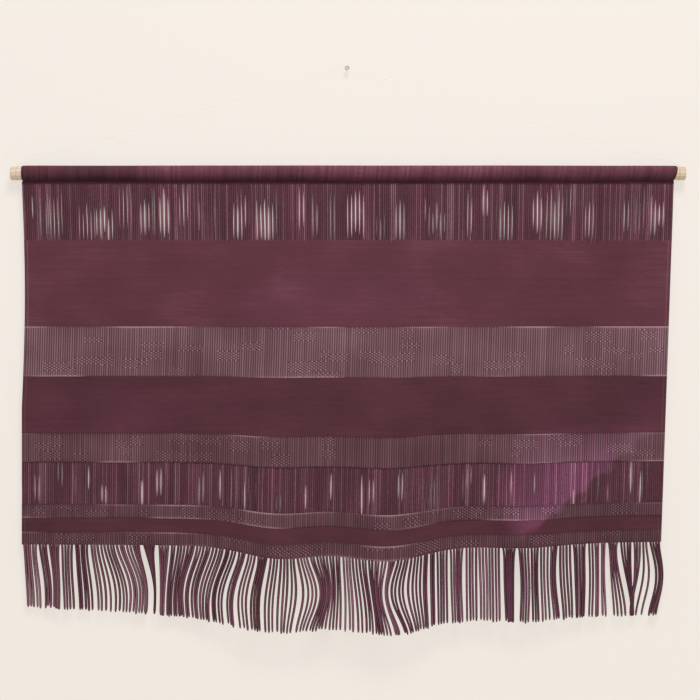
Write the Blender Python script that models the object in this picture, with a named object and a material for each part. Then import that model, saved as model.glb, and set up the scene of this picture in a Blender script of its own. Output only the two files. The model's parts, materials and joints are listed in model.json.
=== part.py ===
"""Woven tapestry wall hanging on a dowel, hung from a nail by a clear line.

Metres, +Z up, +Y into the wall. The origin is where the nail enters the wall, whose face is y = 0.
The cloth is described flat, by a share across it and a drop below the pocket, and then draped.
"""

import math

import bmesh
import bpy
from mathutils import Vector

# Clearances
GAP = 0.0003  # between solids that touch on the real object
WALL_CLEARANCE = 0.002  # between the rod pocket and the wall
SEAM_HINGE_GAP = 0.0025  # room for the upper open warp to turn below the seam
BAND_HINGE_GAP = 0.006  # room for the lower open warp to turn below the wavy edge of the band above
LOCK_GAP = 0.002  # room for a lock of the fringe to turn below the hem

# Dowel and rod pocket
DOWEL_LENGTH = 1.235
DOWEL_RADIUS = 0.0125
DOWEL_CHAMFER = 0.0015
DOWEL_DROP = 0.1935  # from the nail's axis down to the dowel's axis
DOWEL_SHIFT = 0.002  # the dowel's middle lies a little to the right of the nail
CLOTH_WIDTH = 1.200
CLOTH_SHIFT = 0.0045  # and the cloth's middle a little further
POCKET_OUTER_RADIUS = 0.0148
POCKET_INNER_RADIUS = 0.0135
SEAM_HEIGHT = 0.0035
SEAM_THICKNESS = 0.003

# Nail
NAIL_RADIUS = 0.0015
NAIL_IN_WALL = 0.022
NAIL_POINT = 0.005
NAIL_OUT = 0.013
NAIL_HEAD_RADIUS = 0.0042
NAIL_HEAD_THICKNESS = 0.0014

# Hanging line
LINE_DIAMETER = 0.001
LINE_HALF_SPAN = 0.6055  # from the dowel's middle to the turns round it
LINE_AT_NAIL = -0.008  # where along the nail the line lies
LINE_BEND_STEPS = 6
LINE_RUN_STEPS = 9
KNOT_RADIUS = 0.0015

# Cloth thicknesses
PLAIN_THICKNESS = 0.003
TEXTURED_THICKNESS = 0.0045
WARP_THICKNESS = 0.002
FRINGE_THICKNESS = 0.003

# Band heights of the flat cloth, from the pocket's seam down
BANDS = (
    ("upper_open_warp", "warp", 0.1045),
    ("plain_band_1", "plain", 0.1570),
    ("textured_band_1", "textured", 0.0923),
    ("plain_band_2", "plain", 0.1030),
    ("textured_band_2", "textured", 0.0539),
    ("lower_open_warp", "warp", 0.0760),
    ("textured_band_3", "textured", 0.0256),
    ("plain_band_3", "plain", 0.0247),
    ("textured_band_4", "textured", 0.0238),
)
CLOTH_DROP = sum(height for _, _, height in BANDS)

# Drape: each fold is (middle, half width, depth at the hem, extra drop at the hem)
FOLDS = (
    (-0.121, 0.064, 0.036, 0.019),
    (0.070, 0.070, 0.043, 0.023),
    (0.320, 0.062, 0.022, 0.005),
    (0.050, 0.280, 0.010, 0.004),
)
FOLD_DEPTH_POWER = 1.7  # how fast the folds deepen down the cloth
FOLD_DROP_POWER = 3.5  # how fast the folds' sag grows down the cloth
LEFT_PULL = 0.0055  # how far the left edge draws in, at its waist
LEFT_PULL_END = 0.62  # share of the drop where the left edge is straight again
RIGHT_PULL_TOP = 0.006  # how far the right edge draws in below the pocket
RIGHT_PULL_HEM = 0.0295  # and at the hem
RIGHT_LIFT = 0.0055  # how far the hem's right end rises

# Open warp sections: one upright and one slit to each column of the cloth
YARN_SHARE = 0.78  # share of each column that is yarn and not slit
HEADER_HEIGHT = 0.004  # of the closely packed yarn at both ends of the slits

# Fringe
LOCK_COUNT = 18
FRINGE_LENGTH_LEFT = 0.121
FRINGE_LENGTH_RIGHT = 0.140
LOCK_TIP_SHARE = 0.66  # a lock's width at its tip over its width at its root

COLUMNS_PER_LOCK = 2
COLUMNS = LOCK_COUNT * COLUMNS_PER_LOCK  # flat facets across the cloth, which all bands share
ROW_HEIGHT = 0.052
TURNED_SIDES = 32
NAIL_SIDES = 16
LOOP_SIDES = 20
LINE_SIDES = 8

WOOD = ("pale_wood", (0.66, 0.50, 0.33), 0.55, 0.0)
STEEL = ("nail_steel", (0.45, 0.42, 0.38), 0.38, 1.0)
CLEAR_LINE = ("clear_line", (0.85, 0.85, 0.84), 0.15, 0.0)
PLAIN_WOOL = ("plain_weave", (0.115, 0.040, 0.055), 0.90, 0.0)
RIBBED_WOOL = ("ribbed_weave", (0.175, 0.085, 0.105), 0.95, 0.0)
WARP_YARN = ("warp_yarn", (0.130, 0.045, 0.065), 0.90, 0.0)
FRINGE_YARN = ("fringe_yarn", (0.150, 0.055, 0.080), 0.90, 0.0)

DOWEL_Y = -(POCKET_OUTER_RADIUS + WALL_CLEARANCE)
DOWEL_Z = -DOWEL_DROP
CLOTH_TOP = DOWEL_Z - POCKET_OUTER_RADIUS - GAP - SEAM_HEIGHT
LINE_RADIUS = LINE_DIAMETER / 2
LOOP_RADIUS = DOWEL_RADIUS + GAP + LINE_RADIUS


def clear_scene():
    for existing in list(bpy.data.objects):
        bpy.data.objects.remove(existing, do_unlink=True)


def finish_material(look):
    name, colour, roughness, metallic = look
    material = bpy.data.materials.get(name) or bpy.data.materials.new(name)
    material.use_nodes = True
    shader = material.node_tree.nodes["Principled BSDF"]
    shader.inputs["Base Color"].default_value = (*colour, 1.0)
    shader.inputs["Roughness"].default_value = roughness
    shader.inputs["Metallic"].default_value = metallic
    return material


def add_object(name, data, look, location=(0.0, 0.0, 0.0)):
    data.materials.append(finish_material(look))
    made = bpy.data.objects.new(name, data)
    made.location = location
    bpy.context.scene.collection.objects.link(made)
    return made


def add_bmesh(name, bm, look, location=(0.0, 0.0, 0.0), smooth=False):
    """Turns a closed bmesh, made about location, into an object with its origin there."""
    bmesh.ops.recalc_face_normals(bm, faces=bm.faces)
    mesh = bpy.data.meshes.new(name)
    bm.to_mesh(mesh)
    bm.free()
    if smooth:
        mesh.shade_smooth()
        mesh.set_sharp_from_angle(angle=math.radians(40))
    return add_object(name, mesh, look, location)


# The draped cloth


def fold_shape(x, drop):
    """How far the cloth stands forward and how far it sags at x, at this drop below the seam."""
    share = drop / CLOTH_DROP
    depth = 0.0
    sag = 0.0
    for middle, half_width, fold_depth, fold_sag in FOLDS:
        bell = math.exp(-0.5 * ((x - middle) / half_width) ** 2)
        depth += fold_depth * bell
        sag += fold_sag * bell
    return depth * share**FOLD_DEPTH_POWER, sag * share**FOLD_DROP_POWER


def cloth_x(across, drop):
    share = drop / CLOTH_DROP
    left = CLOTH_SHIFT - CLOTH_WIDTH / 2
    right = CLOTH_SHIFT + CLOTH_WIDTH / 2
    left += LEFT_PULL * math.sin(math.pi * min(1.0, share / LEFT_PULL_END))
    right -= RIGHT_PULL_TOP + (RIGHT_PULL_HEM - RIGHT_PULL_TOP) * share
    return left + (right - left) * across


def cloth_point(across, drop):
    """The middle of the cloth's thickness, as it hangs."""
    x = cloth_x(across, drop)
    depth, sag = fold_shape(x, drop)
    lift = RIGHT_LIFT * across**2 * (drop / CLOTH_DROP) ** FOLD_DROP_POWER
    return Vector((x, DOWEL_Y - depth, CLOTH_TOP - drop - sag + lift))


def facet_point(across, drop):
    """The same on the flat facets between the columns, so that the edges of neighbours meet."""
    column = min(int(across * COLUMNS), COLUMNS - 1)
    near = cloth_point(column / COLUMNS, drop)
    far = cloth_point((column + 1) / COLUMNS, drop)
    return near.lerp(far, across * COLUMNS - column)


def slab(name, places, thickness, look, origin, is_open=None):
    """A closed slab round rows of mid-surface places, thick along Y, without the cells is_open names."""
    origin = Vector(origin)
    front = Vector((0.0, -thickness / 2, 0.0))
    bm = bmesh.new()
    grid = [[bm.verts.new(place + front - origin) for place in row] for row in places]
    for j in range(len(grid) - 1):
        for i in range(len(grid[0]) - 1):
            if is_open is None or not is_open(i, j):
                bm.faces.new((grid[j][i], grid[j][i + 1], grid[j + 1][i + 1], grid[j + 1][i]))
    spare = [vert for vert in bm.verts if not vert.link_faces]
    bmesh.ops.delete(bm, geom=spare, context="VERTS")
    pushed = bmesh.ops.extrude_face_region(bm, geom=bm.faces[:])
    back = [item for item in pushed["geom"] if isinstance(item, bmesh.types.BMVert)]
    bmesh.ops.translate(bm, verts=back, vec=(0.0, thickness, 0.0))
    return add_bmesh(name, bm, look, origin)


def woven_band(name, top, bottom, thickness, look, origin):
    rows = max(1, round((bottom - top) / ROW_HEIGHT))
    drops = [top + (bottom - top) * j / rows for j in range(rows + 1)]
    places = [[cloth_point(i / COLUMNS, drop) for i in range(COLUMNS + 1)] for drop in drops]
    return slab(name, places, thickness, look, origin)


def open_warp(name, top, bottom, origin):
    """Bare yarns as a comb of uprights between two closely packed edges, with open slits between them."""
    across = []
    for k in range(COLUMNS):
        across += [k / COLUMNS, (k + YARN_SHARE) / COLUMNS]
    across[-1] = 1.0
    drops = (top, top + HEADER_HEIGHT, bottom - HEADER_HEIGHT, bottom)
    places = [[facet_point(share, drop) for share in across] for drop in drops]
    return slab(name, places, WARP_THICKNESS, WARP_YARN, origin, lambda i, j: i % 2 == 1 and j == 1)


def make_bands():
    """All bands in turn, each with its origin on the joint that carries it."""
    looks = {"plain": (PLAIN_WOOL, PLAIN_THICKNESS), "textured": (RIBBED_WOOL, TEXTURED_THICKNESS)}
    drop = 0.0
    for name, weave, height in BANDS:
        bottom = drop + height - GAP
        if name == "upper_open_warp":
            origin = panel_pivot()
            open_warp(name, drop + SEAM_HINGE_GAP, bottom, origin)
        elif name == "lower_open_warp":
            origin = hem_pivot(drop)
            open_warp(name, drop + BAND_HINGE_GAP, bottom, origin)
        else:
            look, thickness = looks[weave]
            woven_band(name, drop, bottom, thickness, look, origin)
        drop += height


def panel_pivot():
    """The line under the pocket's seam that the whole panel turns about."""
    return Vector((0.0, DOWEL_Y, CLOTH_TOP))


def hem_pivot(drop):
    """The line at the top of the lower open warp that the hem turns about, above the hem's own weight."""
    steps = range(COLUMNS + 1)
    edge = [cloth_point(i / COLUMNS, drop) for i in steps]
    hem = [cloth_point(i / COLUMNS, (drop + 3 * CLOTH_DROP) / 4) for i in steps]
    middle_y = sum(place.y for place in hem) / len(hem)
    middle_z = sum(place.z for place in edge) / len(edge)
    return Vector((0.0, middle_y, middle_z))


# The fringe


def lock_pivot(roots):
    """The middle of a lock's root: halfway between the chord of its edge and the edge's own middle."""
    chord_middle = (roots[0] + roots[-1]) / 2
    return (chord_middle + roots[len(roots) // 2]) / 2


def fringe_lock(number):
    """One tapering lock of warp ends, hanging straight down from the hem's edge; its origin is its root."""
    first = number * COLUMNS_PER_LOCK
    roots = [cloth_point((first + i) / COLUMNS, CLOTH_DROP) for i in range(COLUMNS_PER_LOCK + 1)]
    share = (number + 0.5) / LOCK_COUNT
    length = FRINGE_LENGTH_LEFT + (FRINGE_LENGTH_RIGHT - FRINGE_LENGTH_LEFT) * share
    pivot = lock_pivot(roots)
    places = []
    for down in (0.0, 0.5, 1.0):
        narrowing = 1.0 - (1.0 - LOCK_TIP_SHARE) * down
        row = []
        for i, root in enumerate(roots):
            side_gap = GAP * (1 - 2 * i / COLUMNS_PER_LOCK)
            x = pivot.x + (root.x - pivot.x) * narrowing + side_gap
            y = pivot.y + (root.y - pivot.y) * narrowing
            row.append(Vector((x, y, root.z - LOCK_GAP - (length - LOCK_GAP) * down)))
        places.append(row)
    return slab(f"fringe_lock_{number + 1:02d}", places, FRINGE_THICKNESS, FRINGE_YARN, pivot)


# The dowel, the pocket and the hanging parts


def turned(name, profile, sides, look, location, axis):
    """A solid turned from (distance along axis, radius) pairs whose first and last radius is zero."""
    bm = bmesh.new()
    across = Vector((0.0, 0.0, 1.0))
    centre_line = Vector(axis)
    verts = [bm.verts.new(centre_line * along + across * radius) for along, radius in profile]
    edges = [bm.edges.new(pair) for pair in zip(verts, verts[1:])]
    bmesh.ops.spin(
        bm, geom=verts + edges, cent=(0, 0, 0), axis=axis, angle=math.tau, steps=sides, use_merge=True
    )
    bmesh.ops.remove_doubles(bm, verts=bm.verts, dist=1e-6)
    return add_bmesh(name, bm, look, location, smooth=True)


def make_dowel():
    half = DOWEL_LENGTH / 2
    rim = DOWEL_RADIUS - DOWEL_CHAMFER
    profile = [(-half, 0.0), (-half, rim), (DOWEL_CHAMFER - half, DOWEL_RADIUS)]
    profile += [(half - DOWEL_CHAMFER, DOWEL_RADIUS), (half, rim), (half, 0.0)]
    turned("dowel", profile, TURNED_SIDES, WOOD, (DOWEL_SHIFT, DOWEL_Y, DOWEL_Z), (1, 0, 0))


def make_rod_pocket():
    """A plain tube of cloth, open at both ends, coaxial with the dowel."""
    half = CLOTH_WIDTH / 2
    bm = bmesh.new()
    corners = (
        (-half, POCKET_OUTER_RADIUS),
        (half, POCKET_OUTER_RADIUS),
        (half, POCKET_INNER_RADIUS),
        (-half, POCKET_INNER_RADIUS),
    )
    verts = [bm.verts.new((x, 0.0, radius)) for x, radius in corners]
    edges = [bm.edges.new((verts[k - 1], verts[k])) for k in range(len(verts))]
    bmesh.ops.spin(
        bm,
        geom=verts + edges,
        cent=(0, 0, 0),
        axis=(1, 0, 0),
        angle=math.tau,
        steps=TURNED_SIDES,
        use_merge=True,
    )
    bmesh.ops.remove_doubles(bm, verts=bm.verts, dist=1e-6)
    add_bmesh("rod_pocket", bm, PLAIN_WOOL, (CLOTH_SHIFT, DOWEL_Y, DOWEL_Z), smooth=True)


def make_pocket_seam():
    """The stitched strip that closes the tube, from just under it down to the open warp."""
    top = CLOTH_TOP + SEAM_HEIGHT
    half = CLOTH_WIDTH / 2 - RIGHT_PULL_TOP
    places = [[Vector((CLOTH_SHIFT + side * half, DOWEL_Y, z)) for side in (-1, 1)] for z in (top, CLOTH_TOP)]
    slab("pocket_seam", places, SEAM_THICKNESS, PLAIN_WOOL, (CLOTH_SHIFT, DOWEL_Y, DOWEL_Z))


def make_nail():
    """A flat-headed nail along Y: pointed in the wall, with its head towards the viewer."""
    neck = -NAIL_OUT
    face = neck - NAIL_HEAD_THICKNESS
    dome = NAIL_HEAD_RADIUS * 0.8
    profile = [(NAIL_IN_WALL, 0.0), (NAIL_IN_WALL - NAIL_POINT, NAIL_RADIUS), (neck, NAIL_RADIUS)]
    profile += [(neck, NAIL_HEAD_RADIUS), (face + NAIL_HEAD_THICKNESS / 2, NAIL_HEAD_RADIUS)]
    profile += [(face, dome), (face, 0.0)]
    turned("wall_nail", profile, NAIL_SIDES, STEEL, (0.0, 0.0, 0.0), (0, 1, 0))


def knot_place(sign):
    """The middle of the knot on top of the dowel, at its left end for -1 and its right for 1."""
    top = DOWEL_Z + LOOP_RADIUS + LINE_RADIUS + GAP + KNOT_RADIUS
    return Vector((DOWEL_SHIFT + sign * LINE_HALF_SPAN, DOWEL_Y, top))


def leaving_angle(knot, bend_radius):
    """The angle round the nail, from the horizontal on the knot's side, where the line's run leaves it."""
    return math.atan2(knot.z, abs(knot.x)) + math.acos(bend_radius / math.hypot(knot.x, knot.z))


def line_route():
    """The line's centre from the left knot, over the nail, to the right knot."""
    bend_radius = NAIL_RADIUS + GAP + LINE_RADIUS
    knots = [knot_place(-1), knot_place(1)]
    first = math.pi - leaving_angle(knots[0], bend_radius)
    last = leaving_angle(knots[1], bend_radius)
    bend = []
    for k in range(LINE_BEND_STEPS + 1):
        angle = first + (last - first) * k / LINE_BEND_STEPS
        bend.append(Vector((bend_radius * math.cos(angle), LINE_AT_NAIL, bend_radius * math.sin(angle))))
    start = knots[0] + (bend[0] - knots[0]).normalized() * (KNOT_RADIUS + GAP)
    end = knots[1] + (bend[-1] - knots[1]).normalized() * (KNOT_RADIUS + GAP)
    rise = [start.lerp(bend[0], k / LINE_RUN_STEPS) for k in range(LINE_RUN_STEPS)]
    fall = [bend[-1].lerp(end, (k + 1) / LINE_RUN_STEPS) for k in range(LINE_RUN_STEPS)]
    return rise + bend + fall


def make_hanging_line():
    curve = bpy.data.curves.new("hanging_line", "CURVE")
    curve.dimensions = "3D"
    curve.bevel_depth = LINE_RADIUS
    curve.bevel_resolution = 2
    curve.use_fill_caps = True
    curve.render_resolution_u = 0
    route = line_route()
    spline = curve.splines.new("POLY")
    spline.points.add(len(route) - 1)
    for point, place in zip(spline.points, route):
        point.co = (*place, 1.0)
    add_object("hanging_line", curve, CLEAR_LINE)


def make_line_loop(side, sign):
    """One turn of the line round the dowel, as a ring, and the knot that closes it on top."""
    bm = bmesh.new()
    rings = []
    for i in range(LOOP_SIDES):
        turn = math.tau * i / LOOP_SIDES
        ring = []
        for j in range(LINE_SIDES):
            around = math.tau * j / LINE_SIDES
            x = LINE_RADIUS * math.sin(around)
            radius = LOOP_RADIUS + LINE_RADIUS * math.cos(around)
            ring.append(bm.verts.new((x, radius * math.cos(turn), radius * math.sin(turn))))
        rings.append(ring)
    for i in range(LOOP_SIDES):
        for j in range(LINE_SIDES):
            nearer, further = rings[i - 1], rings[i]
            bm.faces.new((nearer[j - 1], nearer[j], further[j], further[j - 1]))
    place = knot_place(sign)
    add_bmesh(f"line_loop_{side}", bm, CLEAR_LINE, (place.x, DOWEL_Y, DOWEL_Z), smooth=True)
    knot = bmesh.new()
    bmesh.ops.create_uvsphere(knot, u_segments=12, v_segments=8, radius=KNOT_RADIUS)
    add_bmesh(f"line_knot_{side}", knot, CLEAR_LINE, place, smooth=True)


def main():
    clear_scene()
    make_nail()
    make_hanging_line()
    for side, sign in (("left", -1), ("right", 1)):
        make_line_loop(side, sign)
    make_dowel()
    make_rod_pocket()
    make_pocket_seam()
    make_bands()
    for number in range(LOCK_COUNT):
        fringe_lock(number)


main()
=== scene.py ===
"""The looks of the tapestry wall hanging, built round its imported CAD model.

Metres, in the CAD's frame: +Z up, the wall's face at y = 0, the origin where the nail enters it.
Every band of the cloth is described flat, by a share across it and a drop below the pocket, and then draped.
"""

import json
import math

import bpy
import numpy as np
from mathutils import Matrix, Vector


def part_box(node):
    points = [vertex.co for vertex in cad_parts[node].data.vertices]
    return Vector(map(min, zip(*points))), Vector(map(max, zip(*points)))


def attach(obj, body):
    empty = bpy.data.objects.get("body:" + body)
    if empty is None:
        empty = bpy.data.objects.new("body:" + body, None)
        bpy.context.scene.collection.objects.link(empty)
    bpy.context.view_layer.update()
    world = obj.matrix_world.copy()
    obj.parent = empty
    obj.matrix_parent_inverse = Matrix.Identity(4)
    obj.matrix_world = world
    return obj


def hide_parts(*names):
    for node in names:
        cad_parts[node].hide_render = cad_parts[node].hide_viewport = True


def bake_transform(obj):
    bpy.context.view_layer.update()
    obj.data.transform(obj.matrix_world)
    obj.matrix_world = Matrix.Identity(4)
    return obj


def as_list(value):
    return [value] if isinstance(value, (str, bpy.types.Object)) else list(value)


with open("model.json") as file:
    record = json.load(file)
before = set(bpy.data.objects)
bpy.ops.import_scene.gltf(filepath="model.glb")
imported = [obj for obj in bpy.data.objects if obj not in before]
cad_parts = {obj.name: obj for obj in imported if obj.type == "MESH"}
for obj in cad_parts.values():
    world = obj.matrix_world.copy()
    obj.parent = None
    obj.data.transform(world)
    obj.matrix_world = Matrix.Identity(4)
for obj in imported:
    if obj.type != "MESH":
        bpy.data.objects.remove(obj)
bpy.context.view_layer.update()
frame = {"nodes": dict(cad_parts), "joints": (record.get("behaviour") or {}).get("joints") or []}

# Places read from the CAD model
dowel_low, dowel_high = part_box("dowel")
pocket_low, pocket_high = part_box("rod_pocket")
seam_low, seam_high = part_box("pocket_seam")
DOWEL_PLACE = (dowel_low + dowel_high) / 2
DOWEL_RADIUS = (dowel_high.z - dowel_low.z) / 2
CLOTH_TOP = seam_low.z
JOINTS = {joint["name"]: joint for joint in frame["joints"]}

# The cloth as part.py drapes it
BANDS = (
    ("upper_open_warp", 0.1045),
    ("plain_band_1", 0.1570),
    ("textured_band_1", 0.0923),
    ("plain_band_2", 0.1030),
    ("textured_band_2", 0.0539),
    ("lower_open_warp", 0.0760),
    ("textured_band_3", 0.0256),
    ("plain_band_3", 0.0247),
    ("textured_band_4", 0.0238),
)
CLOTH_DROP = sum(height for _, height in BANDS)
CLOTH_WIDTH = 1.200
FOLDS = (
    (-0.121, 0.064, 0.036, 0.019),
    (0.070, 0.070, 0.043, 0.023),
    (0.320, 0.062, 0.022, 0.005),
    (0.050, 0.280, 0.010, 0.004),
)
FOLD_DEPTH_POWER = 1.7
FOLD_DROP_POWER = 3.5
LEFT_PULL = 0.0055
LEFT_PULL_END = 0.62
RIGHT_PULL_TOP = 0.006
RIGHT_PULL_HEM = 0.0295
RIGHT_LIFT = 0.0055

# The weave
YARN_COUNT = 336  # warp yarns across the cloth
YARN_PITCH = CLOTH_WIDTH / YARN_COUNT
RIB_COUNT = 280  # ribs across a textured band
PLAIN_HALF_THICKNESS = 0.0013
TEXTURED_HALF_THICKNESS = 0.0017
YARN_HALF_THICKNESS = 0.0010
TWIST_PITCH = 0.005  # one turn of a yarn's twist
ROUND_SIDES = 8  # flat sides of a modelled yarn or strand
NEXT_YARN = 0.0137  # step in the noise's third direction, so that no two yarns share their slubs

# Slits in the open warps, in small groups scattered across the cloth
UPPER_SLIT_GROUPS = 30
LOWER_SLIT_GROUPS = 24
WIDEST_SLIT = 0.0021

# The fringe: its length at the left edge, a third of the way across and at the right edge
FRINGE_LENGTHS = ((0.0, 0.114), (0.33, 0.133), (1.0, 0.134))
# Its bends: x, half width of the bend, sideways shift halfway down and at the tip
FRINGE_BENDS = (
    (-0.56, 0.020, 0.006, 0.008),
    (-0.41, 0.050, 0.017, 0.028),
    (-0.24, 0.070, -0.022, -0.025),
    (-0.07, 0.020, 0.017, 0.004),
    (0.03, 0.030, 0.008, 0.014),
    (0.09, 0.025, -0.013, 0.008),
    (0.37, 0.030, -0.003, 0.007),
    (0.50, 0.014, 0.012, 0.020),
    (0.535, 0.008, -0.008, -0.016),
    (0.56, 0.015, 0.011, -0.002),
)
LOCK_COUNT = 18
STRANDS_PER_LOCK = 11
STRAND_RADIUS = 0.00235


# Meshes


def add_object(name, data):
    made = bpy.data.objects.new(name, data)
    bpy.context.scene.collection.objects.link(made)
    return made


def add_mesh(name, points, faces, material, attributes=None, smooth=True):
    """An object from points and blocks of faces, each block an array with one face to a row."""
    mesh = bpy.data.meshes.new(name)
    points = np.asarray(points, np.float32).reshape(-1, 3)
    mesh.vertices.add(len(points))
    mesh.vertices.foreach_set("co", points.ravel())
    corners = np.concatenate([np.asarray(block).ravel() for block in faces])
    sizes = np.concatenate([np.full(len(block), np.shape(block)[1]) for block in faces])
    starts = np.cumsum(sizes) - sizes
    mesh.loops.add(len(corners))
    mesh.loops.foreach_set("vertex_index", corners.astype(np.int32))
    mesh.polygons.add(len(sizes))
    mesh.polygons.foreach_set("loop_start", starts.astype(np.int32))
    mesh.update(calc_edges=True)
    mesh.validate()
    if smooth:
        mesh.shade_smooth()
    for key, values in (attributes or {}).items():
        values = np.asarray(values, np.float32).reshape(len(points), -1)
        kind, field = ("FLOAT_VECTOR", "vector") if values.shape[1] == 3 else ("FLOAT", "value")
        mesh.attributes.new(key, kind, "POINT").data.foreach_set(field, values.ravel())
    mesh.materials.append(material)
    return add_object(name, mesh)


def grid_faces(rows, columns, first=0):
    """Faces of a grid of points whose rows run down and whose columns run right, seen from its front."""
    index = first + np.arange(rows * columns).reshape(rows, columns)
    corners = (index[:-1, :-1], index[1:, :-1], index[1:, 1:], index[:-1, 1:])
    return np.stack(corners, axis=-1).reshape(-1, 4)


def closed_sheet_faces(rows, columns):
    """Faces of two such grids, front then back, joined round their edges."""
    count = rows * columns
    index = np.arange(count).reshape(rows, columns)
    rim = np.concatenate((index[:-1, 0], index[-1, :-1], index[:0:-1, -1], index[0, :0:-1]))
    after = np.roll(rim, -1)
    back = grid_faces(rows, columns, count)[:, ::-1]
    edge = np.stack((after, rim, rim + count, after + count), axis=-1)
    return [grid_faces(rows, columns), back, edge]


def tube_points(centres, half_width, half_depth, sideways, outward, sides):
    """Rings of points round many lines at once: lines x rings x sides, starting at each line's back."""
    turn = -math.pi / 2 + math.tau * np.arange(sides) / sides
    across = half_width[..., None, None] * np.cos(turn)[:, None] * sideways[..., None, :]
    deep = half_depth[..., None, None] * np.sin(turn)[:, None] * outward[..., None, :]
    return centres[..., None, :] + across + deep


def tube_faces(lines, rings, sides):
    """Closed skins for the points of tube_points, whose rings run down."""
    index = np.arange(lines * rings * sides).reshape(lines, rings, sides)
    near, far = index[:, :-1], index[:, 1:]
    corners = (near, np.roll(near, -1, 2), np.roll(far, -1, 2), far)
    skin = np.stack(corners, axis=-1).reshape(-1, 4)
    return [skin, index[:, 0, ::-1], index[:, -1]]


def smooth_noise(generator, rows, columns, row_blur, column_blur):
    """A field of soft random lumps, about -1 to 1, longer along its columns or its rows as blurred."""
    field = generator.standard_normal((rows, columns))
    for axis, blur in ((0, row_blur), (1, column_blur)):
        if blur > 0:
            reach = max(1, int(3 * blur))
            weights = np.exp(-0.5 * (np.arange(-reach, reach + 1) / blur) ** 2)
            weights /= weights.sum()
            padding = [(reach, reach) if k == axis else (0, 0) for k in (0, 1)]
            padded = np.pad(field, padding, mode="reflect" if field.shape[axis] > reach else "edge")
            field = np.apply_along_axis(lambda line: np.convolve(line, weights, "valid"), axis, padded)
    return np.clip(field / (2.0 * field.std() + 1e-9), -1.0, 1.0)


# The drape


def drape(across, drop):
    """Points of the cloth's middle surface."""
    across, drop = np.broadcast_arrays(np.asarray(across, float), np.asarray(drop, float))
    share = np.maximum(drop, 0.0) / CLOTH_DROP
    left = pocket_low.x + LEFT_PULL * np.sin(np.pi * np.minimum(1.0, share / LEFT_PULL_END))
    right = pocket_high.x - RIGHT_PULL_TOP - (RIGHT_PULL_HEM - RIGHT_PULL_TOP) * share
    x = left + (right - left) * across
    depth = np.zeros_like(x)
    sag = np.zeros_like(x)
    for middle, half_width, fold_depth, fold_sag in FOLDS:
        bell = np.exp(-0.5 * ((x - middle) / half_width) ** 2)
        depth += fold_depth * bell
        sag += fold_sag * bell
    y = DOWEL_PLACE.y - depth * share**FOLD_DEPTH_POWER
    lift = RIGHT_LIFT * across**2 - sag
    z = CLOTH_TOP - drop + lift * share**FOLD_DROP_POWER
    return np.stack((x, y, z), axis=-1)


def unit(vectors):
    return vectors / np.linalg.norm(vectors, axis=-1, keepdims=True)


def drape_frame(across, drop):
    """The directions across the cloth and out of its front."""
    step = 0.0005
    sideways = drape(across + step, drop) - drape(across - step, drop)
    down = drape(across, drop + step) - drape(across, np.maximum(drop - step, 0.0))
    return unit(sideways), unit(np.cross(down, sideways))


def band_span(name):
    """The drops of a band's top and bottom edge."""
    top = 0.0
    for band, height in BANDS:
        if band == name:
            return top, top + height
        top += height


# The soft mauve areas of the dyeing: x, z, half width, half height, strength
TONE_SPOTS = (
    (-0.030, -0.425, 0.150, 0.045, 0.18),
    (-0.270, -0.190, 0.100, 0.025, 0.25),
    (0.060, -0.190, 0.140, 0.025, 0.20),
    (0.400, -0.190, 0.120, 0.025, 0.15),
    (-0.420, -0.630, 0.160, 0.045, 0.09),
    (0.560, -0.600, 0.060, 0.090, 0.10),
    (0.200, -0.960, 0.160, 0.060, 0.30),
)
TONE_SLANT = ((0.58, -0.65), (0.32, -0.86))  # the sharper edge of the slanting mauve area
TONE_SLANT_STRENGTH = 0.9
TONE_SLANT_BLUR = 0.008  # width of that edge


def tone_at(points):
    """How mauve the dyeing is, 0 to 1, at points of the hanging at rest."""
    x, z = points[..., 0], points[..., 2]
    tone = np.zeros_like(x)
    for spot_x, spot_z, half_width, half_height, strength in TONE_SPOTS:
        far = ((x - spot_x) / half_width) ** 2 + ((z - spot_z) / half_height) ** 2
        tone += strength * np.exp(-far)
    (x0, z0), (x1, z1) = TONE_SLANT
    run, fall = x1 - x0, z1 - z0
    length = math.hypot(run, fall)
    along = ((x - x0) * run + (z - z0) * fall) / length**2
    off = ((x - x0) * fall - (z - z0) * run) / length
    ragged = 0.004 * np.sin(95 * x + 60 * z) + 0.003 * np.sin(210 * z - 40 * x)
    down = np.clip(along, 0.0, 1.0)
    reach = 0.020 + 0.045 * down + 0.070 * np.sin(math.pi * down**1.5)
    edge = np.clip((off + ragged) / TONE_SLANT_BLUR + 0.5, 0.0, 1.0)
    fade = np.clip(1.3 - off / reach, 0.0, 1.0)
    ends = np.clip(along / 0.55, 0.0, 1.0) * np.clip((1.05 - along) / 0.10, 0.0, 1.0)
    tone += TONE_SLANT_STRENGTH * edge * fade * ends
    return np.clip(tone, 0.0, 1.0)


# Materials


def linear(red, green, blue):
    """A colour from its everyday 0 to 255 values."""
    shares = [channel / 255 for channel in (red, green, blue)]
    return (*(((s + 0.055) / 1.055) ** 2.4 if s > 0.04045 else s / 12.92 for s in shares), 1.0)


PLUM_DEEP = linear(52, 26, 33)
PLUM = linear(97, 53, 65)
PLUM_LIGHT = linear(140, 92, 106)
RIB_DEEP = linear(60, 34, 41)
RIB = linear(110, 75, 83)
RIB_LIGHT = linear(172, 138, 146)
YARN_DEEP = linear(47, 23, 31)
YARN = linear(98, 57, 70)
YARN_LIGHT = linear(168, 124, 138)
MAUVE_TINT = (2.0, 1.9, 2.4, 1.0)  # what the mauve areas' dye does to the colour under it


def new_material(name):
    material = bpy.data.materials.new(name)
    material.use_nodes = True
    shader = material.node_tree.nodes["Principled BSDF"]
    return material, material.node_tree, shader


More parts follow.
